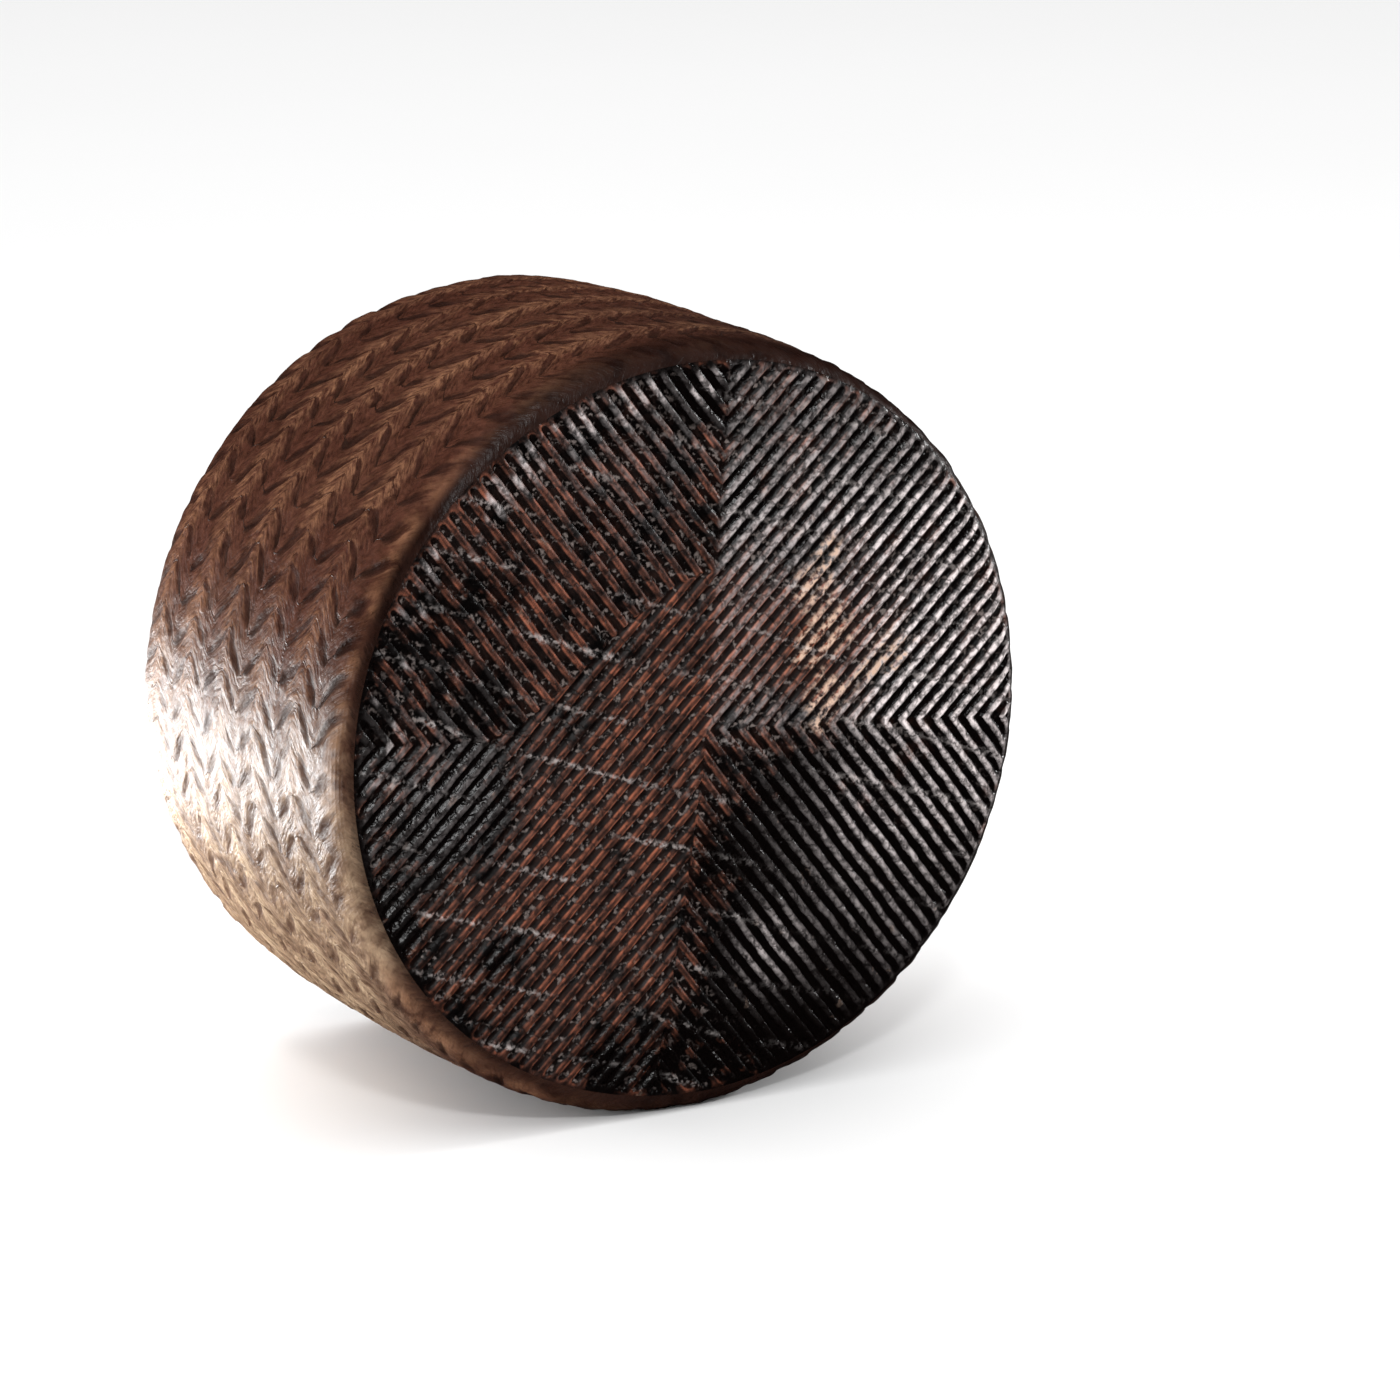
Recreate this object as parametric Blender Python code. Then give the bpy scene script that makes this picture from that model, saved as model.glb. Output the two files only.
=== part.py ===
"""A whole wheel of hard sheep's milk cheese, standing on its rim.

The wheel is one solid: a thick drum with a slight belly and rounded edges. A plaited grass
mould has left its print round the side, as slanted leaf-shaped hollows in rows that lean one
way and then the other. Grooved pressing boards have left straight grooves on both faces, in
four quarters that meet in chevrons. The bottom of the rim is pressed flat where it stands.

Frame: +Z up, the wheel's axis along Y, the front face towards -Y, and the origin on the
ground under the middle of the wheel.
"""

import math

import bmesh
import bpy

# The drum, in metres. The belly is how much wider it is half way between the faces than at them,
# and the oval adds to the radius along its long axis and takes as much off across it.
DIAMETER = 0.200
THICKNESS = 0.112
BELLY = 0.0017
FRONT_EDGE_RADIUS = 0.0070
BACK_EDGE_RADIUS = 0.0045
OUT_OF_ROUND = 0.00056
LONG_AXIS_DEG = 49.6
FLAT_SPOT_DEPTH = 0.0016

# The plait print on the side. A strand's slant is how far it leans round the drum in one row,
# and its hollow is deepest between the two shares of the row's width.
STRANDS = 60
PLAIT_ROWS = 11
STRAND_SLANT = 0.0096
HOLLOW_DEPTH = 0.0011
HOLLOW_ENDS = (0.27, 0.73)

# The board print on the two faces. Each cross divides its face into the four quarters, and the
# grooves lie at their angle to its first line, mirrored from one quarter to the next.
GROOVE_PITCH = 0.00385
GROOVE_DEPTH = 0.0009
GROOVE_ANGLE_DEG = 48.0
GROOVE_RUN_OUT = 0.0020
FRONT_CROSS = {"x": 0.005, "z": 0.000, "turn_deg": -4.5}
BACK_CROSS = {"x": -0.003, "z": 0.002, "turn_deg": 7.0}

MERGE = 0.0001
RADIUS = DIAMETER / 2
HALF = THICKNESS / 2
ROW = THICKNESS / PLAIT_ROWS
STEP = 2 * math.pi / STRANDS


def clear_scene():
    for obj in list(bpy.data.objects):
        bpy.data.objects.remove(obj, do_unlink=True)


def drum_radius(angle, y):
    """Radius of the drum at an angle from the top, turning towards -X, and a place along Y."""
    oval = OUT_OF_ROUND * math.cos(2 * (angle + math.radians(90 - LONG_AXIS_DEG)))
    return RADIUS + oval - BELLY * (y / HALF) ** 2


def on_drum(angle, y, below=0.0):
    r = drum_radius(angle, y) - below
    return (-r * math.sin(angle), y, r * math.cos(angle))


def lean_at(y):
    """How far round the drum a strand has leaned by a place along Y, to one side and back."""
    rows = (y + HALF) / ROW % 2
    return STRAND_SLANT / RADIUS * min(rows, 2 - rows)


def ring(bm, y, below=0.0):
    return [bm.verts.new(on_drum(j * STEP + lean_at(y), y, below)) for j in range(STRANDS)]


def edge_rings(bm, side, edge_radius, turns):
    """Rings of a rounded edge, from the face to the side. A turn of 90 is on the face."""
    rings = []
    for turn in turns:
        k = math.radians(turn)
        y = side * (HALF - edge_radius * (1 - math.sin(k)))
        rings.append(ring(bm, y, edge_radius * (1 - math.cos(k))))
    return rings


def bridge(bm, first, second):
    """Plain quads between two rings, the second one further along +Y."""
    for j in range(STRANDS):
        n = (j + 1) % STRANDS
        bm.faces.new((first[j], second[j], second[n], first[n]))


def plait_row(bm, first, second):
    """One row of leaf-shaped hollows between two rings, with the ridges left standing."""
    front, back = first[0].co.y, second[0].co.y
    for j in range(STRANDS):
        n = (j + 1) % STRANDS
        ends = []
        for share in HOLLOW_ENDS:
            y = front + (back - front) * share
            ends.append(bm.verts.new(on_drum((j + 0.5) * STEP + lean_at(y), y, HOLLOW_DEPTH)))
        near, far = ends
        bm.faces.new((first[j], near, first[n]))
        bm.faces.new((second[n], far, second[j]))
        bm.faces.new((first[j], second[j], far))
        bm.faces.new((first[j], far, near))
        bm.faces.new((first[n], near, far))
        bm.faces.new((first[n], far, second[n]))


def build_side(bm):
    """The side and both rounded edges. It returns the rings that the two faces start at."""
    front = edge_rings(bm, -1, FRONT_EDGE_RADIUS, (90, 60, 30, 0))
    back = edge_rings(bm, 1, BACK_EDGE_RADIUS, (0, 45, 90))
    rows = [ring(bm, row * ROW - HALF) for row in range(1, PLAIT_ROWS)]
    for first, second in zip(front, front[1:] + rows[:1]):
        bridge(bm, first, second)
    for first, second in zip(rows, rows[1:] + back[:1]):
        plait_row(bm, first, second)
    for first, second in zip(back, back[1:]):
        bridge(bm, first, second)
    return front[0], back[-1]


def cross_place(co, cross):
    """A point of a face, measured along the two lines that divide it into quarters."""
    turn = math.radians(cross["turn_deg"])
    x, z = co.x - cross["x"], co.z - cross["z"]
    return (
        x * math.cos(turn) + z * math.sin(turn),
        z * math.cos(turn) - x * math.sin(turn),
    )


def groove_count(co, cross):
    """How many grooves away a point is from its quarter's middle groove."""
    p, q = cross_place(co, cross)
    lean = math.radians(GROOVE_ANGLE_DEG)
    return (abs(p) * math.sin(lean) - abs(q) * math.cos(lean)) / GROOVE_PITCH


def cut(bm, faces, point, normal):
    """Cuts these faces along a plane, and returns the faces that they are then."""
    geom = set(faces)
    for face in faces:
        geom.update(face.edges)
        geom.update(face.verts)
    result = bmesh.ops.bisect_plane(
        bm, geom=list(geom), dist=1e-6, plane_co=point, plane_no=normal
    )
    return [item for item in result["geom"] if isinstance(item, bmesh.types.BMFace)]


def quarter(face, cross):
    p, q = cross_place(face.calc_center_median(), cross)
    return (1 if p > 0 else -1, 1 if q > 0 else -1)


def build_face(bm, rim, y, cross):
    """A face: a narrow band inside the rim, where the grooves run out, and the grooved board print."""
    side = -1 if y < 0 else 1
    share = 1 - GROOVE_RUN_OUT / math.hypot(rim[0].co.x, rim[0].co.z)
    inner = [bm.verts.new((v.co.x * share, y, v.co.z * share)) for v in rim]
    faces = []
    for j in range(STRANDS):
        n = (j + 1) % STRANDS
        band = (rim[j], rim[n], inner[n], inner[j])
        faces.append(bm.faces.new(band if side < 0 else band[::-1]))
    faces.append(bm.faces.new(inner if side < 0 else inner[::-1]))

    turn = math.radians(cross["turn_deg"])
    along = (math.cos(turn), math.sin(turn))
    middle = (cross["x"], y, cross["z"])
    faces = cut(bm, faces, middle, (along[0], 0, along[1]))
    faces = cut(bm, faces, middle, (-along[1], 0, along[0]))

    lean = math.radians(GROOVE_ANGLE_DEG)
    most = int(DIAMETER / GROOVE_PITCH)
    printed = []
    for quarter_of_face in ((1, 1), (-1, 1), (-1, -1), (1, -1)):
        mine = [face for face in faces if quarter(face, cross) == quarter_of_face]
        a, b = quarter_of_face[0] * math.sin(lean), -quarter_of_face[1] * math.cos(lean)
        normal = (a * along[0] - b * along[1], 0, a * along[1] + b * along[0])
        for half in range(-most, most + 1):
            offset = half * GROOVE_PITCH / 2
            point = (middle[0] + normal[0] * offset, y, middle[2] + normal[2] * offset)
            mine = cut(bm, mine, point, normal)
        printed += mine

    border = math.hypot(rim[0].co.x, rim[0].co.z) - GROOVE_RUN_OUT / 2
    for vert in {vert for face in printed for vert in face.verts}:
        if math.hypot(vert.co.x, vert.co.z) < border:
            part = groove_count(vert.co, cross) % 1
            vert.co.y = y - side * GROOVE_DEPTH * (1 - abs(2 * part - 1))


def stand_on_flat_spot(bm):
    """Presses the bottom of the rim flat and puts the ground at z = 0 under the middle."""
    ground = -(RADIUS - FLAT_SPOT_DEPTH)
    for vert in bm.verts:
        vert.co.z = max(vert.co.z, ground)
    xs = [vert.co.x for vert in bm.verts]
    middle = (min(xs) + max(xs)) / 2
    for vert in bm.verts:
        vert.co.x -= middle
        vert.co.z -= ground


def rind_material():
    material = bpy.data.materials.new("dark_waxed_rind")
    material.use_nodes = True
    shader = material.node_tree.nodes["Principled BSDF"]
    shader.inputs["Base Color"].default_value = (0.066, 0.030, 0.020, 1.0)
    shader.inputs["Roughness"].default_value = 0.38
    shader.inputs["Metallic"].default_value = 0.0
    return material


def build_wheel():
    bm = bmesh.new()
    front, back = build_side(bm)
    build_face(bm, front, -HALF, FRONT_CROSS)
    build_face(bm, back, HALF, BACK_CROSS)
    bmesh.ops.remove_doubles(bm, verts=bm.verts, dist=MERGE)
    bmesh.ops.triangulate(bm, faces=bm.faces)
    stand_on_flat_spot(bm)
    mesh = bpy.data.meshes.new("cheese_wheel")
    bm.to_mesh(mesh)
    bm.free()
    mesh.shade_smooth()
    mesh.set_sharp_from_angle(angle=math.radians(28))
    mesh.materials.append(rind_material())
    wheel = bpy.data.objects.new("cheese_wheel", mesh)
    bpy.context.scene.collection.objects.link(wheel)
    return wheel


clear_scene()
build_wheel()
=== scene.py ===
"""Looks of a whole wheel of hard sheep's milk cheese, standing on its rim.

Three pieces stand for the solid: the side with its plait print, and the front and back faces
with their grooved board print. They meet on the two rounded edges. Lengths are in metres.
"""

import math

import bpy
import numpy as np
from mathutils import Matrix, Vector


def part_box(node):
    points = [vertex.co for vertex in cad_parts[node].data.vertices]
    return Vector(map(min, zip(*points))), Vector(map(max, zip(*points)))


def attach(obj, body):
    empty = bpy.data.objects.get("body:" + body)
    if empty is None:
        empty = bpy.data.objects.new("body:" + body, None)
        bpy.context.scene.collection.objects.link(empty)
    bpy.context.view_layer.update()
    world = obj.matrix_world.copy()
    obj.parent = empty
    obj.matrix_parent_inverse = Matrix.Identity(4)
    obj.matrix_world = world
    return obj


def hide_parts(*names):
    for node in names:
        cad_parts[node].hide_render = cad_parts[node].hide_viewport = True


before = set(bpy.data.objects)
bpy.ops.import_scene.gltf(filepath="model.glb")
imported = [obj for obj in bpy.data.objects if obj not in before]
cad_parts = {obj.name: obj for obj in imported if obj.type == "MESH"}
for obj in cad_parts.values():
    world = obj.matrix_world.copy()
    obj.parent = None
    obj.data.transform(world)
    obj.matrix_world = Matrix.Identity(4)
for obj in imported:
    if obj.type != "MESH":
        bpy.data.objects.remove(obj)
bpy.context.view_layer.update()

# The drum, as the solid has it
RADIUS = 0.100
BELLY = 0.0017
OUT_OF_ROUND = 0.00056
LONG_AXIS_DEG = 49.6
FRONT_EDGE_RADIUS = 0.0070
BACK_EDGE_RADIUS = 0.0045
FLAT_SPOT_DEPTH = 0.0016
THICKNESS = (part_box("cheese_wheel")[1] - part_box("cheese_wheel")[0]).y
HALF = THICKNESS / 2
FACE = RADIUS - BELLY - FRONT_EDGE_RADIUS
BACK_FACE = RADIUS - BELLY - BACK_EDGE_RADIUS

# The plait print
STRANDS = 60
PLAIT_ROWS = 11
STRAND_SLANT = 0.0096
HOLLOW_DEPTH = 0.00075
LEAF_WIDTH = 0.25
LEAF_TIP = 0.30
ROW = THICKNESS / PLAIT_ROWS
STEP = 2 * math.pi / STRANDS

# The board print
GROOVE_PITCH = 0.00385
GROOVE_DEPTH = 0.0010
GROOVE_ANGLE_DEG = 48.0
SEAM_SPACING = 0.0142
BREAKS_PER_SEAM = 3
BREAK_SWING = 13.0
SEAM_SLOPE_DEG = -19.0
SEAM_HEIGHT = 0.00030
SEAM_CORE = 0.0001
SEAM_HALF_WIDTH = 0.0009
CREASE = 0.0004
LOWER_LINE_SWING = 0.006
LOWER_LINE_REACH = 0.078
CLIMB_START = -0.065
FRONT_CROSS = {"x": 0.005, "z": 0.000, "turn_deg": -4.5, "climb": 0.040}
BACK_CROSS = {"x": -0.003, "z": 0.002, "turn_deg": 7.0, "climb": 0.0}

# How fine the meshes are
COLUMNS_PER_STRAND = 11
LINES_PER_ROW = 12
FACE_GRID = 306

# How far past the flat of the faces the pieces meet, and how much further towards +X in front
FRONT_MEETING_PAST_FLAT = 0.0012
FRONT_MEETING_TO_RIGHT = 0.0042
BACK_MEETING_TURN_DEG = 60

# The camera, worked out from the outline of the wheel in the photograph
VIEW_AZIMUTH_DEG = -29.44
VIEW_ELEVATION_DEG = 14.03
VIEW_DISTANCE = 1.5004
VIEW_RIGHT = 0.0305
VIEW_DOWN = 0.0034
LENS_MM = 150.4

# Layers of unevenness as (height, size, seed), in metres or as shares of a strand or a row
SWELLS = ((0.00045, 0.045, 11), (0.00022, 0.017, 12), (0.00006, 0.0022, 13))
STRAND_WANDER = ((0.20, 0.022, 21), (0.19, 0.009, 22), (0.07, 0.004, 23))
ROW_WANDER = ((0.18, 0.020, 24), (0.18, 0.008, 28))
SIDE_GRAIN = ((0.00022, 0.0032, 25), (0.00012, 0.0018, 26))
GROOVE_WANDER = ((0.0007, 0.05, 0), (0.00025, 0.012, 1))

# The beads on the ridges of the boards' print, as layers that are shares of their height
RIDGE_BEADS = ((0.6, 0.0024, 6), (0.4, 0.0013, 7))
BEAD_HEIGHT = 0.00007

# The seeds of the faces, added to those of their layers
FRONT_SEED = 31
BACK_SEED = 51

# Numbers that scramble the cells of the noise
X_MIX, Y_MIX, Z_MIX = 374761393, 668265263, 2147483647
SEED_MIX, LAST_MIX = 974711, 1274126177
SEED_SHIFT = 17.31

# Places round the drum, as angles from the top towards -X
SHEEN_ANGLE = 1.75
# Where the dark rim with its painted shade is least, on the lit lower left, and where it reaches
# furthest, at the top and at the bottom by the floor
LIT_RIM_ANGLE = 2.15
TOP_RIM_SHADE_ANGLE = -0.15
BOTTOM_RIM_SHADE_ANGLE = 3.4
# The pale zone: bare rind with painted light and highlight, low on the side towards -X
PALE_START, PALE_FULL, PALE_FADE, PALE_END = 1.16, 2.08, 2.40, 2.85

# Where the wax is worn brown, or thick where the strength is below 0: (x, z, radius, strength)
FRONT_WORN = (
    (-0.028, -0.030, 0.045, 0.75),
    (0.005, 0.020, 0.022, 0.65),
    (-0.045, 0.048, 0.034, 0.40),
    (-0.014, 0.074, 0.018, 0.38),
    (0.042, 0.022, 0.021, 0.80),
    (0.036, -0.056, 0.032, -0.80),
    (-0.014, -0.066, 0.020, 0.30),
    (-0.062, -0.006, 0.018, -0.34),
)
BACK_WORN = (
    (0.030, -0.025, 0.042, 0.65),
    (-0.030, 0.040, 0.030, 0.50),
)

# Where pale bloomed wax and painted highlight lie beside those of the upper right quarter, in the
# same form: white streaks, glints and grey sheen on the ridges
FRONT_BLOOM_AND_HIGHLIGHT = (
    (0.090, 0.006, 0.038, 1.00),
    (0.042, 0.020, 0.018, -0.50),
    (0.024, -0.059, 0.009, 0.58),
    (0.060, -0.036, 0.022, 0.46),
    (-0.014, 0.076, 0.020, 0.14),
    (-0.068, -0.004, 0.020, 0.12),
)
# Pale bloomed wax and painted highlight on the back face, in the same form
BACK_BLOOM_AND_HIGHLIGHT = ((-0.050, -0.045, 0.034, 0.40),)

# The tan spots, in the same form
FRONT_TAN = (
    (0.0405, 0.0408, 0.0054, 0.95),
    (0.0356, 0.0327, 0.0056, 0.85),
    (0.0430, 0.0230, 0.0060, 0.90),
    (0.0356, 0.0172, 0.0056, 0.95),
    (0.0594, 0.0144, 0.0058, 1.05),
    (0.0527, 0.0100, 0.0044, 0.75),
    (0.0418, 0.0060, 0.0058, 0.90),
    (0.0366, 0.0000, 0.0050, 0.75),
)
BACK_TAN = ((-0.040, -0.030, 0.006, 0.9),)

# Colours of the rind, under brown wax and where it is pale, bare rind with painted light: dark
# fibres, light fibres, hollows, ridges
# The hollows' colours in both are darker as painted shade.
BROWN_RIND = (
    (0.030, 0.0090, 0.0056),
    (0.093, 0.0262, 0.0142),
    (0.0180, 0.0060, 0.0042),
    (0.26, 0.118, 0.060),
)
BARE_AND_LIT_RIND = (
    (0.10, 0.050, 0.028),
    (0.42, 0.28, 0.17),
    (0.120, 0.056, 0.033),
    (0.54, 0.395, 0.255),
)

# Colours on the side: darker towards +X near the front, wax on its front edge, and dark wax with
# painted shade along that edge
SIDE_DARKER = (0.014, 0.0068, 0.0058)
EDGE_WAX = (0.050, 0.018, 0.0115)
RIM_WAX_AND_SHADE = (0.0110, 0.0034, 0.0022)

# Colours of the faces
BLACK_WAX = (0.0022, 0.0010, 0.0009)
WORN_BROWN = (0.310, 0.088, 0.042)
# Pale dots, partly bloomed wax and partly painted glints
PALE_DOT_AND_GLINT = (0.42, 0.34, 0.31)
# The pale crests are partly bloomed wax and partly painted highlight, in white streaks and glints
PALE_BLOOM_AND_HIGHLIGHT = (0.80, 0.71, 0.70)
TAN_SPOT = (0.62, 0.42, 0.31)
PALE_SEAM = (0.60, 0.54, 0.52)

# Heights of the finest relief, and how glossy the wax is
LEAF_BUMP, FIBRE_BUMP, SIDE_GRAIN_BUMP = 0.00024, 0.00022, 0.00032
BREAK_BUMP, SCRATCH_BUMP, FACE_GRAIN_BUMP = 0.00016, 0.00016, 0.00015
SIDE_SPECULAR, FACE_SPECULAR = 0.22, 0.27

# The studio
FLOOR_REACH = 6.0
WORLD_STRENGTH = 0.80


def noise(points, size, seed):
    """Smooth noise from -1 to 1 at these points, with features of about this size."""
    place = points / size + seed * SEED_SHIFT
    cell = np.floor(place).astype(np.int64)
    share = place - cell
    share = share * share * (3 - 2 * share)
    total = np.zeros(len(points))
    for corner in range(8):
        pick = np.array([corner & 1, corner >> 1 & 1, corner >> 2 & 1])
        at = cell + pick
        mixed = at[:, 0] * X_MIX + at[:, 1] * Y_MIX + at[:, 2] * Z_MIX + seed * SEED_MIX
        mixed = (mixed ^ (mixed >> 13)) * LAST_MIX
        value = ((mixed ^ (mixed >> 16)) & 0xFFFF) / 0xFFFF * 2 - 1
        total += value * np.where(pick, share, 1 - share).prod(axis=1)
    return total


def uneven(points, layers, seed=0):
    """The sum of layers of noise given as (height, size, seed), with this seed added to theirs."""
    return sum(height * noise(points, size, seed + own) for height, size, own in layers)


def layered(points, size, seed, layers=3):
    """Noise with finer noise on it, from about -1 to 1."""
    return sum(noise(points, size / 2**n, seed + n) / 2**n for n in range(layers)) / 1.6


def ramp(value, start, end):
    """0 before start, 1 after end, and smooth between them. Start may be the larger."""
    share = np.clip((value - start) / (end - start), 0, 1)
    return share * share * (3 - 2 * share)


def drum(angle, along):
    """Points and outward normals of the plain drum.

    angle turns from the top towards -X. along is the distance from the middle of the front
    face, over the front edge and the side, to the middle of the back face.
    """
    oval = OUT_OF_ROUND * np.cos(2 * (angle + math.radians(90 - LONG_AXIS_DEG)))
    front_arc = FRONT_EDGE_RADIUS * math.pi / 2
    back_arc = BACK_EDGE_RADIUS * math.pi / 2
    flat_side = THICKNESS - FRONT_EDGE_RADIUS - BACK_EDGE_RADIUS
    past_front = along - FACE
    past_side = past_front - front_arc - flat_side
    past_back = past_side - back_arc
    front_turn = math.pi / 2 - np.clip(past_front / FRONT_EDGE_RADIUS, 0, math.pi / 2)
    back_turn = np.clip(past_side / BACK_EDGE_RADIUS, 0, math.pi / 2)
    y = (
        -HALF
        + FRONT_EDGE_RADIUS * (1 - np.sin(front_turn))
        + np.clip(past_front - front_arc, 0, flat_side)
        + BACK_EDGE_RADIUS * np.sin(back_turn)
    )
    r = RADIUS + oval - BELLY * (y / HALF) ** 2
    r = r - FRONT_EDGE_RADIUS * (1 - np.cos(front_turn)) - BACK_EDGE_RADIUS * (1 - np.cos(back_turn))
    r = r + np.minimum(past_front, 0) * (1 + oval / FACE) - np.maximum(past_back, 0)
    outward = np.cos(front_turn) * np.cos(back_turn)
    towards = np.sin(back_turn) - np.sin(front_turn)
    sine, cosine = np.sin(angle), np.cos(angle)
    points = np.stack([-r * sine, y, r * cosine], axis=1)
    normals = np.stack([-outward * sine, towards, outward * cosine], axis=1)
    return points, normals


def plait_rows(points, along):
    """Rows of the plait counted from the front, measured along the rind over the front edge."""
    rows = (points[:, 1] + HALF) / ROW
    first = FACE + FRONT_EDGE_RADIUS * (math.pi / 2 - 1) + ROW
    return np.where(rows < 1, 1 + (along - first) / ROW, rows)


def lean_at(rows):
    """How far round the drum a strand has leaned by a place, to one side and back."""
    return STRAND_SLANT / RADIUS * np.minimum(rows % 2, 2 - rows % 2)


def plait_depth(strand, rows):
    """How deep the plait print is, as a share, at a place counted in strands and rows.

    Each hollow is a leaf with its tips at the ends of its row.
    """
    across = np.abs(strand - np.floor(strand) - 0.5)
    end = np.clip((np.sin(np.pi * (rows - np.floor(rows))) - LEAF_TIP) / (1 - LEAF_TIP), 0, 1)
    width = LEAF_WIDTH * end**0.6 + 0.02
    return np.clip(1 - (across / width) ** 2, 0, 1) * end**0.4


def cross_place(points, cross):
    """Places on a face, measured along the two lines that divide it into quarters."""
    turn = math.radians(cross["turn_deg"])
    x, z = points[:, 0] - cross["x"], points[:, 2] - cross["z"]
    return x * math.cos(turn) + z * math.sin(turn), z * math.cos(turn) - x * math.sin(turn)


def slash_share(points, cross):
    """1 where the grooves rise to the right, in two of the quarters, and 0 in the other two.

    The lines between the quarters are bent: the lower one swings towards -X, and the one on
    the left climbs as it nears the middle.
    """
    p, q = cross_place(points, cross)
    upright = p + LOWER_LINE_SWING * np.clip(-q / LOWER_LINE_REACH, 0, 2) ** 1.5
    climb = cross["climb"] * ramp(p, CLIMB_START, 0.0) * (p < 0)
    level = q - climb
    right, top = ramp(upright, -CREASE, CREASE), ramp(level, -CREASE, CREASE)
    return right * top + (1 - right) * (1 - top)


def board_print(points, cross, seed):
    """The board print: how deep its grooves and how strong its seams are, as shares, and its
    surface coordinates, across and along the grooves and across and along the seams."""
    moved = points + uneven(points, GROOVE_WANDER, seed)[:, None]
    p, q = cross_place(moved, cross)
    lean = math.radians(GROOVE_ANGLE_DEG)
    slash = slash_share(moved, cross)
    rising = (p * math.sin(lean) - q * math.cos(lean)) / GROOVE_PITCH
    falling = (p * math.sin(lean) + q * math.cos(lean)) / GROOVE_PITCH
    waves = [0.5 - 0.5 * np.cos(2 * np.pi * count) for count in (rising, falling)]
    wave = waves[0] * slash + waves[1] * (1 - slash)
    groove = np.clip(wave, 0, 1) ** (1.15 + 0.35 * noise(points, 0.020, seed + 2))
    across = np.where(slash > 0.5, rising, falling)
    run = np.where(slash > 0.5, falling, rising)
    print_place = np.stack([across, run], axis=1)
    slope = math.radians(SEAM_SLOPE_DEG)
    level = points[:, 2] * math.cos(slope) - points[:, 0] * math.sin(slope)
    level = level / SEAM_SPACING + 0.16 * noise(points, 0.03, seed + 3)
    off = np.abs(level - np.round(level)) * SEAM_SPACING
    off = off + 0.0004 * noise(points, 0.004, seed + 5)
    seam = ramp(off, SEAM_HALF_WIDTH, SEAM_CORE) * ramp(noise(points, 0.014, seed + 4), -0.45, 0.35)
    span = (points[:, 0] * math.cos(slope) + points[:, 2] * math.sin(slope)) / SEAM_SPACING
    return groove, seam, print_place, np.stack([level, span], axis=1)


def settle(points):
    """Moves the wheel onto the ground, with the bottom of its rim pressed flat."""
    points = points + [0, 0, RADIUS - FLAT_SPOT_DEPTH]
    points[:, 2] = np.maximum(points[:, 2], 0)
    return points


def soften(mesh, soft):
    """Turns the shading of each point away from the faces by its share in soft."""
    turned = np.empty(len(mesh.vertices) * 3, dtype=np.float32)
    mesh.vertex_normals.foreach_get("vector", turned)
    turned = turned.reshape(-1, 3)
    turned[:, 1] *= 1 - soft
    turned /= np.linalg.norm(turned, axis=1, keepdims=True)
    mesh.normals_split_custom_set_from_vertices(turned.tolist())


def make_piece(name, points, quads, shades, layers, material, soft=None):
    """A smooth mesh that stands for the solid.

    shades are named numbers at its points, and layers are named pairs of surface coordinates
    at the corners of its quads. soft is for soften.
    """
    mesh = bpy.data.meshes.new(name)
    mesh.from_pydata(settle(points).tolist(), [], quads.tolist())
    mesh.update()
    for label, values in shades.items():
        layer = mesh.attributes.new(label, "FLOAT", "POINT")
        layer.data.foreach_set("value", np.ascontiguousarray(values, dtype=np.float32))
    for label, places in layers.items():
        layer = mesh.uv_layers.new(name=label)
        layer.data.foreach_set("uv", np.ascontiguousarray(places, dtype=np.float32).ravel())
    mesh.shade_smooth()
    if soft is not None:
        soften(mesh, soft)
    mesh.materials.append(material)
    piece = bpy.data.objects.new(name, mesh)
    bpy.context.scene.collection.objects.link(piece)
    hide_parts("cheese_wheel")
    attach(piece, "root")
    return piece


def front_meeting(angle):
    """Distance from the middle of the front face to where the board print ends and the side
    begins: the edge of the flat, and further over the edge towards +X."""
    right = ramp(-np.sin(angle), -0.45, 1.0)
    return FACE + FRONT_MEETING_PAST_FLAT + FRONT_MEETING_TO_RIGHT * right


def back_meeting():
    """Distances along the drum to where the side ends over the back edge, and to the middle of
    the back face."""
    flat_side = THICKNESS - FRONT_EDGE_RADIUS - BACK_EDGE_RADIUS
    side_end = FACE + FRONT_EDGE_RADIUS * math.pi / 2 + flat_side
    meeting = side_end + BACK_EDGE_RADIUS * math.radians(BACK_MEETING_TURN_DEG)
    return meeting, side_end + BACK_EDGE_RADIUS * math.pi / 2 + BACK_FACE


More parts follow.
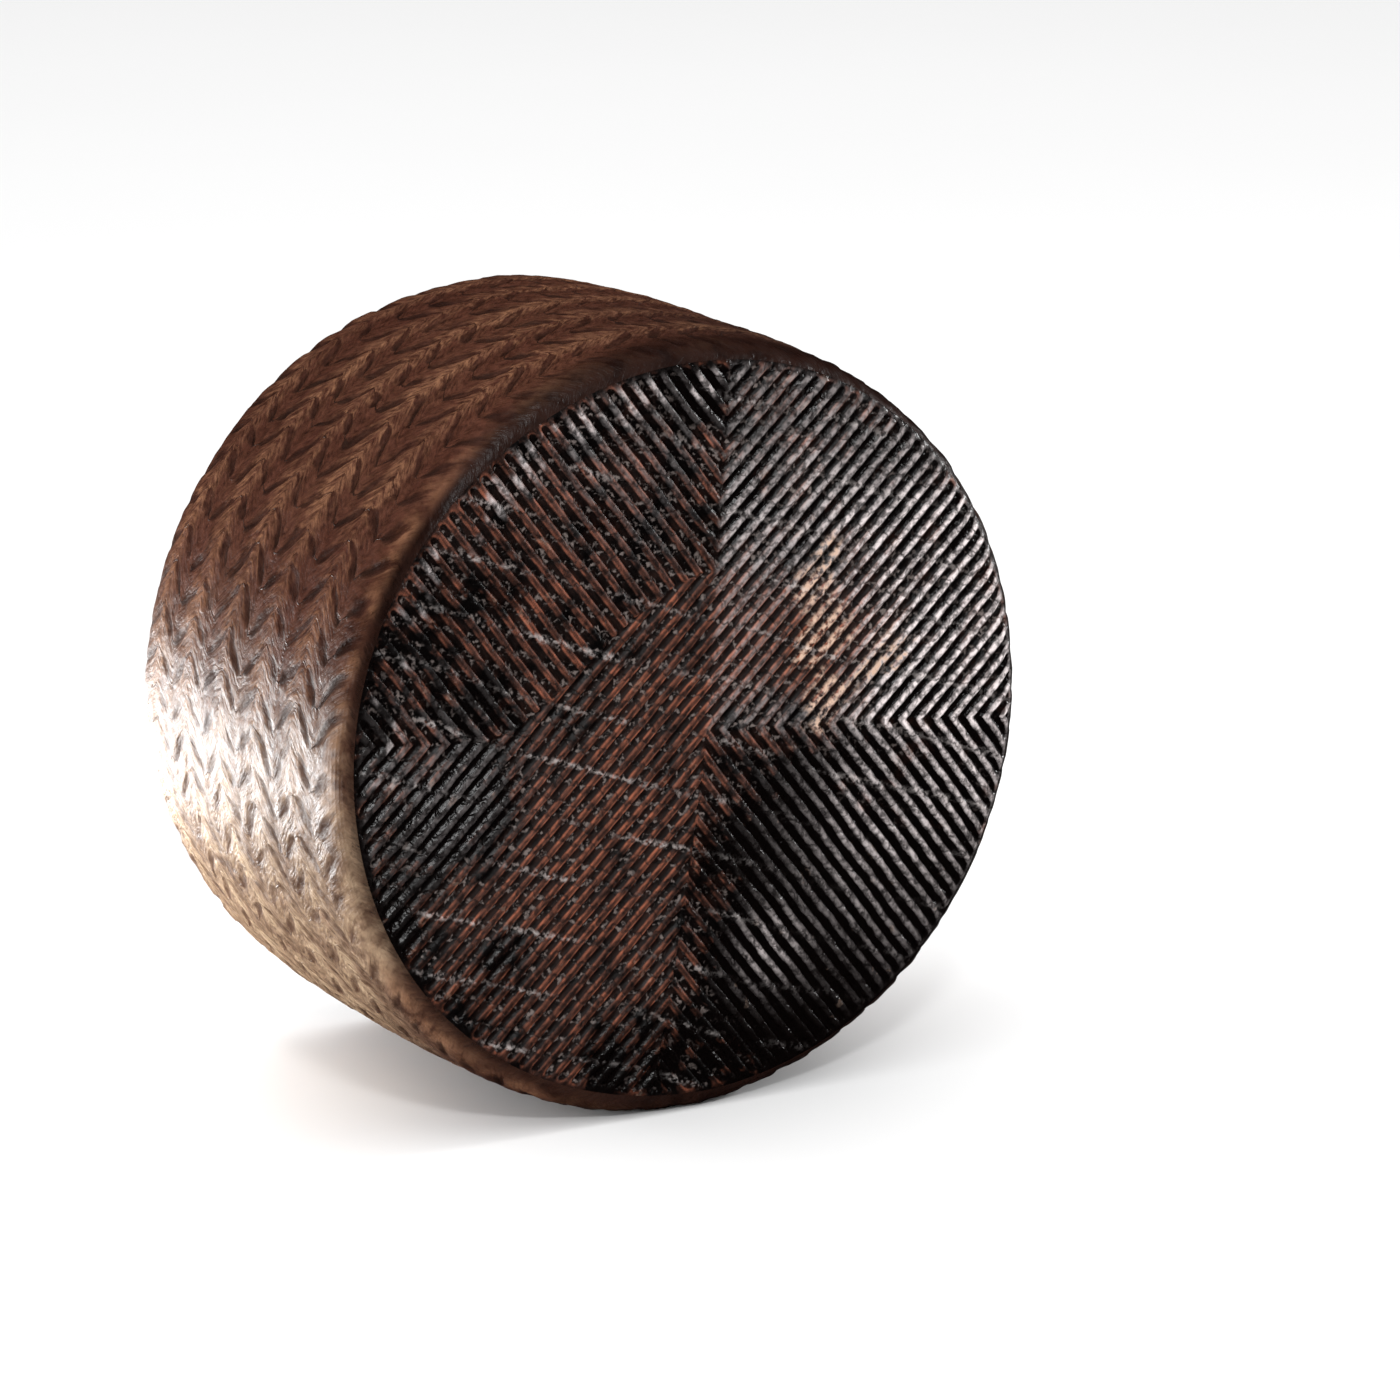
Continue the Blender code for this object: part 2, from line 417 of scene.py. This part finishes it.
def build_side(material):
    """The side with its plait print, over both rounded edges to where the faces begin."""
    back, _ = back_meeting()
    lines = PLAIT_ROWS * LINES_PER_ROW
    columns = STRANDS * COLUMNS_PER_STRAND
    share = np.linspace(0, 1, lines + 1)
    column = np.arange(columns) / COLUMNS_PER_STRAND
    share, strand = [grid.ravel() for grid in np.meshgrid(share, column, indexing="ij")]
    angle = start = strand * STEP - math.pi
    for _ in range(3):
        front = front_meeting(angle)
        along = front + share * (back - front)
        rows = plait_rows(drum(angle, along)[0], along)
        angle = start + lean_at(rows)
    points, normals = drum(angle, along)
    straight = np.stack([strand, rows], axis=1)
    fixed = ramp(np.abs(start), math.pi, math.pi - 0.15)
    strand = strand + fixed * uneven(points, STRAND_WANDER)
    rows = rows + fixed * uneven(points, ROW_WANDER)
    printed = ramp(rows, 0.0, 0.55) * ramp(rows, PLAIT_ROWS, PLAIT_ROWS - 0.35)
    printed = printed * (0.80 + 0.45 * noise(points, 0.016, 29))
    depth = plait_depth(strand, rows) * printed
    grain = uneven(points, SIDE_GRAIN) * ramp(share, 0.0, 0.03) * ramp(share, 1.0, 0.97)
    height = uneven(points, SWELLS) + grain - HOLLOW_DEPTH * depth
    points = points + normals * height[:, None]
    # rim is dark wax with painted shade, edge is wax, dark is darker towards +X, calm is where the
    # fibre marks fade, and pale is bare rind with painted light
    shades = {
        "printed": printed,
        "rim": rim_wax_and_shade(angle, share, points),
        "edge": ramp(share, 0.045, 0.012),
        "calm": ramp(share, 0.12, 0.04),
        "dark": ramp(np.sin(-angle), -0.35, 0.45) * ramp(share, 0.75, 0.15),
        "pale": bare_and_lit_rind(angle, share, points),
    }
    quads = ring_quads(lines, columns)
    last = (quads % columns == 0) & (quads[:, :1] % columns > 0)
    layers = {"print": np.stack([strand, rows], axis=1)[quads], "strands": straight[quads]}
    for place in layers.values():
        place[:, :, 0] = np.where(last, STRANDS, place[:, :, 0])
    soft = 0.95 * ramp(share, 0.20, 0.06) * ramp(np.cos(angle - SHEEN_ANGLE), 0.30, 0.75)
    return make_piece("rind_side", points, quads, shades, layers, material, soft)


def rim_wax_and_shade(angle, share, points):
    """Dark wax along the front edge with painted shade: it reaches further at the top and at the
    bottom by the floor, and is least at the lower left, where the light falls.
    """
    least = ramp(np.cos(angle - LIT_RIM_ANGLE), 0.55, 0.90)
    reach = 0.013 + 0.024 * (1 - least) * (1 + 0.7 * noise(points, 0.02, 27))
    top = ramp(np.cos(angle - TOP_RIM_SHADE_ANGLE), 0.55, 1.0)
    bottom = ramp(np.cos(angle - BOTTOM_RIM_SHADE_ANGLE), 0.70, 0.95)
    reach = reach + 0.10 * top + 0.16 * bottom
    return ramp(share, reach, reach * 0.3) * (1 - 0.45 * least)


def bare_and_lit_rind(angle, share, points):
    """Where the side is pale, low towards -X: bare rind under thin wax, with painted light and
    highlight on that lit side. Further down it stays brown along the front edge."""
    place = angle + 0.20 * layered(points, 0.03, 61)
    brown = ramp(place, 1.95, 2.20) * ramp(share, 0.12 + 0.60 * ramp(angle, 2.0, 2.8), 0.0)
    pale = ramp(place, PALE_START, PALE_FULL) * ramp(place, PALE_END, PALE_FADE)
    return pale * (1 - 0.95 * brown)


def ring_quads(lines, columns):
    """Quads of a tube of closed rings, facing out."""
    line, column = [grid.ravel() for grid in np.meshgrid(range(lines), range(columns), indexing="ij")]
    following = (column + 1) % columns
    first, second = line * columns, (line + 1) * columns
    return np.stack([first + column, second + column, second + following, first + following], axis=1)


def disc_grid(count):
    """A square grid bent onto a disc: its angles, and its distances from the middle, up to 1."""
    step = np.linspace(-1, 1, count + 1)
    a, b = [grid.ravel() for grid in np.meshgrid(step, step, indexing="ij")]
    wide = np.abs(a) >= np.abs(b)
    far = np.where(wide, a, b)
    safe = np.where(far == 0, 1, far)
    turn = np.where(wide, b / safe * np.pi / 4, np.pi / 2 - a / safe * np.pi / 4)
    turn = np.where(far < 0, turn + np.pi, turn)
    index = np.arange((count + 1) ** 2).reshape(count + 1, count + 1)
    quads = np.stack([index[:-1, :-1], index[1:, :-1], index[1:, 1:], index[:-1, 1:]], axis=-1)
    return turn, np.abs(far), quads.reshape(-1, 4)


def soft_patches(points, patches):
    """The sum of soft round patches given as (x, z, radius, strength)."""
    total = np.zeros(len(points))
    for x, z, radius, strength in patches:
        far = np.hypot(points[:, 0] - x, points[:, 2] - z) / radius
        total += strength * np.exp(-(far**2))
    return total


def bloom_and_highlight_share(points, share, angle, cross, patches, seed):
    """Where pale bloomed wax and painted highlight lie: one quarter of painted white streaks, soft
    patches, and painted glints in clumps along part of the rim."""
    p, q = cross_place(points, cross)
    quarter = ramp(p, -0.001, 0.003) * ramp(q, -0.004, 0.003)
    bloom = quarter * (0.22 + 0.94 * ramp(np.hypot(p, q), 0.025, 0.080) * ramp(q, 0.085, 0.030))
    bloom = bloom + soft_patches(points, patches)
    bloom = bloom * (1 + 0.5 * layered(points, 0.012, seed))
    ring = ramp(share, 0.84, 0.92) * ramp(share, 0.985, 0.96)
    ring = ring * ramp(np.cos(angle - 0.75), 0.3, 0.8)
    clumps = ramp(layered(points, 0.007, seed + 1), 0.05, 0.45)
    return np.clip(bloom + 0.55 * ring * clumps, 0, 1)


def build_face(name, front, cross, worn, bloom, tan_spots, material):
    """The front or back face, with its board print and the places where its looks change."""
    turn, share, quads = disc_grid(FACE_GRID)
    angle = turn - np.pi / 2
    if front:
        along = share * front_meeting(angle)
    else:
        meeting, end = back_meeting()
        along = end - share * (end - meeting)
        quads = quads[:, ::-1]
    printed = ramp(share, 1.0, 0.975)
    seed = FRONT_SEED if front else BACK_SEED
    points, normals = drum(angle, along)
    groove, seam, print_place, seam_place = board_print(points, cross, seed)
    height = -GROOVE_DEPTH * groove * (1 + 0.25 * noise(points, 0.010, seed + 8))
    height += SEAM_HEIGHT * seam * (0.4 + 0.6 * groove)
    height += BEAD_HEIGHT * uneven(points, RIDGE_BEADS, seed) * (1 - groove)
    height = uneven(points, SWELLS) + height * printed
    points = points + normals * height[:, None]
    shades = {
        "depth": groove * printed,
        "seam": seam * printed,
        "worn": soft_patches(points, worn) + 0.30 * layered(points, 0.014, seed + 10),
        "bloom": bloom_and_highlight_share(points, share, angle, cross, bloom, seed + 14) * printed,
        "tan": soft_patches(points, tan_spots),
    }
    layers = {"print": print_place[quads], "seams": seam_place[quads]}
    return make_piece(name, points, quads, shades, layers, material)


class Look:
    """A material and its nodes. The methods that add nodes return the socket to go on from."""

    def __init__(self, name):
        self.material = bpy.data.materials.new(name)
        self.material.use_nodes = True
        self.nodes = self.material.node_tree.nodes
        self.links = self.material.node_tree.links
        self.sockets = self.nodes["Principled BSDF"].inputs

    def add(self, kind, **settings):
        """A node, with its settings, and with its sockets set by name with a leading in_."""
        node = self.nodes.new(kind)
        for key, value in settings.items():
            if key.startswith("in_"):
                node.inputs[key[3:].replace("_", " ")].default_value = value
            else:
                setattr(node, key, value)
        return node

    def feed(self, socket, value):
        """Sets a socket to a number or a colour, or links it to another socket."""
        if isinstance(value, (int, float)):
            socket.default_value = value
        elif isinstance(value, tuple):
            socket.default_value = (*value, 1.0)
        else:
            self.links.new(value, socket)

    def give(self, label, value):
        """Sets or links one of the shader's own sockets."""
        self.feed(self.sockets[label], value)

    def shade(self, label):
        """One of the piece's named numbers."""
        return self.add("ShaderNodeAttribute", attribute_name=label).outputs["Fac"]

    def coordinates(self, layer):
        """Both numbers of one of the piece's named pairs of surface coordinates."""
        place = self.add("ShaderNodeUVMap", uv_map=layer)
        parts = self.add("ShaderNodeSeparateXYZ")
        self.links.new(place.outputs["UV"], parts.inputs["Vector"])
        return parts.outputs["X"], parts.outputs["Y"]

    def maths(self, operation, first, second=0.0, clamp=False):
        node = self.add("ShaderNodeMath", operation=operation, use_clamp=clamp)
        self.feed(node.inputs[0], first)
        self.feed(node.inputs[1], second)
        return node.outputs[0]

    def plus(self, first, second, clamp=False):
        return self.maths("ADD", first, second, clamp)

    def minus(self, first, second):
        return self.maths("SUBTRACT", first, second)

    def times(self, first, second, clamp=False):
        return self.maths("MULTIPLY", first, second, clamp)

    def speckle(self, scale, detail=2.0, roughness=0.5):
        """Noise over the object."""
        texture = self.add(
            "ShaderNodeTexNoise", in_Scale=scale, in_Detail=detail, in_Roughness=roughness
        )
        place = self.add("ShaderNodeTexCoord")
        self.links.new(place.outputs["Object"], texture.inputs["Vector"])
        return texture.outputs["Fac"]

    def stretched(self, layer, stretch, detail=3.0, roughness=0.6):
        """Noise over one of the named pairs of surface coordinates."""
        texture = self.add(
            "ShaderNodeTexNoise", in_Scale=1.0, in_Detail=detail, in_Roughness=roughness
        )
        place = self.add("ShaderNodeUVMap", uv_map=layer)
        mapping = self.add("ShaderNodeMapping", in_Scale=stretch)
        self.links.new(place.outputs["UV"], mapping.inputs["Vector"])
        self.links.new(mapping.outputs["Vector"], texture.inputs["Vector"])
        return texture.outputs["Fac"]

    def spread(self, value, low, high, to_low=0.0, to_high=1.0):
        """Maps low to to_low and high to to_high, and holds those values beyond them."""
        ends = {"in_From_Min": low, "in_From_Max": high, "in_To_Min": to_low, "in_To_Max": to_high}
        node = self.add("ShaderNodeMapRange", **ends)
        self.links.new(value, node.inputs["Value"])
        return node.outputs["Result"]

    def mix(self, share, first, second):
        """Between two colours."""
        node = self.add("ShaderNodeMix", data_type="RGBA")
        self.links.new(share, node.inputs["Factor"])
        self.feed(node.inputs["A"], first)
        self.feed(node.inputs["B"], second)
        return node.outputs["Result"]

    def bump(self, height, distance, strength=1.0, under=None):
        node = self.add("ShaderNodeBump", in_Strength=strength, in_Distance=distance)
        self.links.new(height, node.inputs["Height"])
        if under is not None:
            self.links.new(under, node.inputs["Normal"])
        return node.outputs["Normal"]


def leaf_share(look):
    """The hollows of the plait, from the print's own coordinates, with crisp ragged edges."""
    strand, row = look.coordinates("print")
    ragged = look.stretched("print", (5.0, 2.2, 1.0))
    across = look.maths("ABSOLUTE", look.minus(look.maths("FRACT", strand), 0.5))
    end = look.maths("SINE", look.times(look.maths("FRACT", row), math.pi))
    end = look.spread(end, LEAF_TIP, 1.0)
    width = look.plus(look.times(look.maths("POWER", end, 0.6), LEAF_WIDTH), 0.02)
    off = look.maths("DIVIDE", across, width)
    leaf = look.maths("MAXIMUM", look.minus(1.0, look.times(off, off)), -0.6)
    leaf = look.times(leaf, look.shade("printed"))
    return look.plus(leaf, look.spread(ragged, 0.3, 0.7, -0.50, 0.50))


def cap_share(look):
    """1 at the rows where the strands of the plait turn and point up, -1 where they point down."""
    _, row = look.coordinates("print")
    return look.maths("COSINE", look.times(row, math.pi))


def plait_shares(look, leaf, broad, fibres):
    """How dark a place is as a hollow of the plait, darkened there as painted shade, and how tan as a
    ridge between them.
    """
    cap = cap_share(look)
    hollow = look.times(look.spread(leaf, -0.15, 0.95), look.spread(cap, 1.0, -0.6, 0.35, 1.0))
    ridge = look.times(look.spread(leaf, -0.95, -0.15), look.spread(leaf, 0.60, 0.05))
    ridge = look.times(ridge, look.spread(cap, -0.3, 0.95, 0.12, 1.15))
    ridge = look.plus(look.times(ridge, 0.90), 0.08)
    patchy = look.spread(broad, 0.30, 0.70, 0.35, 1.15)
    streak = look.spread(fibres, 0.38, 0.62, 0.20, 1.15)
    return hollow, look.times(look.times(ridge, patchy), streak, clamp=True)


def rind_colour(look, fibre, hollow, ridge, colours):
    """The rind's colour, from its shares and from its four colours."""
    dark_fibres, light_fibres, hollow_shade_colour, on_ridges = colours
    colour = look.mix(fibre, dark_fibres, light_fibres)
    return look.mix(ridge, look.mix(hollow, colour, hollow_shade_colour), on_ridges)


def waxed(look, colour, medium):
    """The colour, darker towards +X, with wax on the front edge, and dark wax with painted shade
    along that edge.
    """
    colour = look.mix(look.times(look.shade("dark"), 0.62), colour, SIDE_DARKER)
    covered = look.spread(look.shade("pale"), 0.0, 1.0, 0.80, 0.22)
    colour = look.mix(look.times(look.shade("edge"), covered), colour, EDGE_WAX)
    # the rim's dark wax and painted shade, mottled
    thick = look.spread(medium, 0.3, 0.6, 0.70, 0.98)
    return look.mix(look.times(look.shade("rim"), thick), colour, RIM_WAX_AND_SHADE)


def side_material():
    """The waxed side: dark in the hollows, tan on the ridges, with the marks of grass fibres."""
    look = Look("plait_printed_rind")
    broad = look.speckle(38.0, 4.0)
    medium = look.speckle(130.0, 3.0, 0.6)
    fine = look.speckle(420.0, 3.0, 0.6)
    fibres = look.stretched("strands", (10.0, 4.2, 1.0), 3.0, 0.65)
    fibres = look.plus(fibres, look.times(look.minus(medium, fibres), look.shade("calm")))
    leaf = leaf_share(look)
    hollow, ridge = plait_shares(look, leaf, broad, fibres)
    fibre = look.plus(look.times(fibres, 0.40), look.times(fine, 0.60))
    fibre = look.spread(fibre, 0.34, 0.66)
    brown = rind_colour(look, fibre, hollow, ridge, BROWN_RIND)
    # The pale copy of the rind is bare rind with painted light.
    pale = rind_colour(look, fibre, hollow, ridge, BARE_AND_LIT_RIND)
    pale_share = look.times(look.shade("pale"), look.spread(medium, 0.32, 0.60, 0.45, 1.0))
    look.give("Base Color", waxed(look, look.mix(pale_share, brown, pale), medium))

    rough = look.spread(fine, 0.3, 0.7, 0.36, 0.55)
    look.give("Roughness", look.plus(rough, look.times(look.shade("rim"), -0.06), clamp=True))
    look.give("Specular IOR Level", SIDE_SPECULAR)
    under = look.bump(leaf, LEAF_BUMP, 0.8)
    under = look.bump(fibres, FIBRE_BUMP, 0.9, under)
    look.give("Normal", look.bump(fine, SIDE_GRAIN_BUMP, 0.8, under))
    return look.material


def cross_breaks(look):
    """1 where the ridges are broken, on lines beside the seams and between them, and down to -1
    halfway between two such lines."""
    level, _ = look.coordinates("seams")
    ragged = look.stretched("seams", (4.0, 5.0, 1.0), 2.0)
    turn = look.times(level, 2 * math.pi * BREAKS_PER_SEAM)
    turn = look.plus(turn, look.times(ragged, BREAK_SWING))
    return look.maths("COSINE", look.minus(turn, BREAK_SWING / 2))


def brown_share(look, depth, patchy, medium, scratches, breaks):
    """Where the wax is worn brown: in blotches, on the ridges, and less where they are broken."""
    blotched = look.plus(patchy, look.spread(medium, 0.3, 0.7, -0.34, 0.34))
    share = look.spread(blotched, 0.10, 0.80)
    share = look.times(share, look.spread(scratches, 0.32, 0.66, 0.15, 1.0))
    share = look.times(share, look.spread(depth, 0.01, 0.20, 0.26, 1.0))
    share = look.times(share, look.spread(breaks, 0.95, 0.2, 0.45, 1.15))
    ridge = look.plus(look.times(look.spread(depth, 0.50, 0.26), 0.94), 0.06)
    return look.times(share, ridge, clamp=True)


def dot_and_glint_share(look, depth, patchy, fine, breaks):
    """Pale dots low on the ridges, where they are broken and the wax is worn: partly bloomed wax,
    partly painted glints.
    """
    share = look.times(look.spread(breaks, 0.1, 0.9), look.spread(depth, 0.25, 0.70))
    share = look.times(share, look.spread(fine, 0.48, 0.62, 0.0, 0.36))
    return look.times(share, look.spread(patchy, 0.0, 0.35))


def crest_bloom_and_highlight(look, depth, bloom, fine, scratches, breaks):
    """Pale bloomed wax and painted highlight in beads along the crests of the ridges."""
    share = look.times(look.spread(breaks, 0.98, 0.55, 0.35, 1.0), bloom)
    share = look.times(share, look.spread(fine, 0.34, 0.60, 0.25, 1.0))
    crest = look.plus(depth, look.spread(scratches, 0.3, 0.7, 0.16, -0.16))
    return look.times(share, look.spread(crest, 0.45, 0.04))


def tan_share(look, depth, medium, fine):
    """The tan spots, mottled, on the ridges."""
    share = look.times(look.spread(depth, 0.75, 0.15), look.spread(fine, 0.40, 0.60))
    mottled = look.plus(look.shade("tan"), look.spread(medium, 0.3, 0.7, -0.45, 0.35))
    return look.times(share, look.spread(mottled, 0.30, 0.85))


def seam_share(look, depth, patchy, bloom, fine):
    """The pale broken seams, faint in the grooves and on thick black wax."""
    share = look.times(look.shade("seam"), look.spread(fine, 0.44, 0.62, 0.0, 0.50))
    share = look.times(share, look.spread(depth, 0.9, 0.2, 0.3, 1.0))
    return look.times(share, look.spread(look.plus(patchy, bloom), -0.2, 0.3, 0.15, 1.0))


def face_material():
    """The waxed face: near black and glossy, brown where the wax has worn off the ridges."""
    look = Look("board_printed_rind")
    depth, bloom = look.shade("depth"), look.shade("bloom")
    broad = look.speckle(60.0, 4.0)
    medium = look.speckle(190.0, 3.0)
    fine = look.speckle(760.0, 2.0, 0.5)
    scratches = look.stretched("print", (4.0, 1.0, 1.0))
    breaks = cross_breaks(look)
    patchy = look.plus(look.shade("worn"), look.spread(broad, 0.3, 0.7, -0.30, 0.30))
    brown = brown_share(look, depth, patchy, medium, scratches, breaks)
    colour = look.mix(brown, BLACK_WAX, WORN_BROWN)
    # pale dots, partly painted glints
    colour = look.mix(dot_and_glint_share(look, depth, patchy, fine, breaks), colour, PALE_DOT_AND_GLINT)
    # pale bloomed wax and painted highlight along the crests
    beads = crest_bloom_and_highlight(look, depth, bloom, fine, scratches, breaks)
    colour = look.mix(beads, colour, PALE_BLOOM_AND_HIGHLIGHT)
    colour = look.mix(tan_share(look, depth, medium, fine), colour, TAN_SPOT)
    colour = look.mix(seam_share(look, depth, patchy, bloom, fine), colour, PALE_SEAM)
    look.give("Base Color", colour)

    look.give("Roughness", look.spread(patchy, 0.0, 0.7, 0.27, 0.62))
    look.give("Specular IOR Level", FACE_SPECULAR)
    under = look.bump(look.spread(breaks, 1.0, 0.0), BREAK_BUMP, 0.9)
    under = look.bump(scratches, SCRATCH_BUMP, 0.7, under)
    look.give("Normal", look.bump(fine, FACE_GRAIN_BUMP, 0.9, under))
    return look.material


def floor():
    """A plain pale floor, hidden from reflections so that black wax stays black."""
    look = Look("pale_floor")
    grain = look.speckle(3.0, 2.0)
    look.give("Base Color", look.mix(grain, (0.86, 0.86, 0.86), (0.88, 0.88, 0.88)))
    look.give("Roughness", 0.9)
    mesh = bpy.data.meshes.new("floor")
    corners = [(x * FLOOR_REACH, y * FLOOR_REACH, 0) for x, y in ((-1, -1), (1, -1), (1, 1), (-1, 1))]
    mesh.from_pydata(corners, [], [(0, 1, 2, 3)])
    mesh.materials.append(look.material)
    plane = bpy.data.objects.new("floor", mesh)
    bpy.context.scene.collection.objects.link(plane)
    plane.visible_glossy = False


def soft_light(name, place, aim, width, height, watts, in_gloss=True):
    """A rectangular lamp that the camera doesn't see."""
    light = bpy.data.lights.new(name, "AREA")
    light.shape = "RECTANGLE"
    light.size, light.size_y, light.energy = width, height, watts
    lamp = bpy.data.objects.new(name, light)
    lamp.location = place
    lamp.rotation_euler = (Vector(aim) - Vector(place)).to_track_quat("-Z", "Y").to_euler()
    lamp.visible_camera = False
    lamp.visible_glossy = in_gloss
    bpy.context.scene.collection.objects.link(lamp)


def lights():
    """Soft light from all round, and three small lamps that make the highlights."""
    middle = (0.0, 0.0, 0.1)
    soft_light("key_front", (-0.42, -0.98, 0.80), middle, 0.15, 0.10, 4.5)
    soft_light("strip_right", (1.10, -0.14, 0.36), middle, 0.16, 0.14, 5.0)
    soft_light("glow_back_left", (-0.185, 0.165, 0.038), (-0.10, 0.0, 0.10), 0.17, 0.07, 0.80)
    soft_light("ceiling", (0.0, 0.0, 2.6), (0.0, 0.001, 0.0), 5.0, 5.0, 60.0, in_gloss=False)
    world = bpy.data.worlds.new("studio")
    world.use_nodes = True
    background = world.node_tree.nodes["Background"].inputs
    background["Color"].default_value = (1.0, 1.0, 1.0, 1.0)
    background["Strength"].default_value = WORLD_STRENGTH
    world.cycles_visibility.glossy = False
    bpy.context.scene.world = world


def camera():
    """Stands where the photograph's camera stood, level, with the wheel left of the middle."""
    a, e = math.radians(VIEW_AZIMUTH_DEG), math.radians(VIEW_ELEVATION_DEG)
    right = Vector((math.cos(a), math.sin(a), 0))
    back = Vector((math.sin(a) * math.cos(e), -math.cos(a) * math.cos(e), math.sin(e)))
    up = back.cross(right)
    centre = Vector((0, 0, RADIUS - FLAT_SPOT_DEPTH))
    data = bpy.data.cameras.new("camera")
    data.sensor_width = 36.0
    data.lens = LENS_MM
    data.clip_start, data.clip_end = 0.05, 30.0
    eye = bpy.data.objects.new("camera", data)
    place = centre + right * VIEW_RIGHT - up * VIEW_DOWN + back * VIEW_DISTANCE
    turn = Matrix((right, up, back)).transposed().to_4x4()
    eye.matrix_world = Matrix.Translation(place) @ turn
    bpy.context.scene.collection.objects.link(eye)
    bpy.context.scene.camera = eye


bpy.context.scene.view_settings.view_transform = "Standard"
camera()
side = side_material()
face = face_material()
build_side(side)
build_face("rind_front", True, FRONT_CROSS, FRONT_WORN, FRONT_BLOOM_AND_HIGHLIGHT, FRONT_TAN, face)
build_face("rind_back", False, BACK_CROSS, BACK_WORN, BACK_BLOOM_AND_HIGHLIGHT, BACK_TAN, face)
floor()
lights()
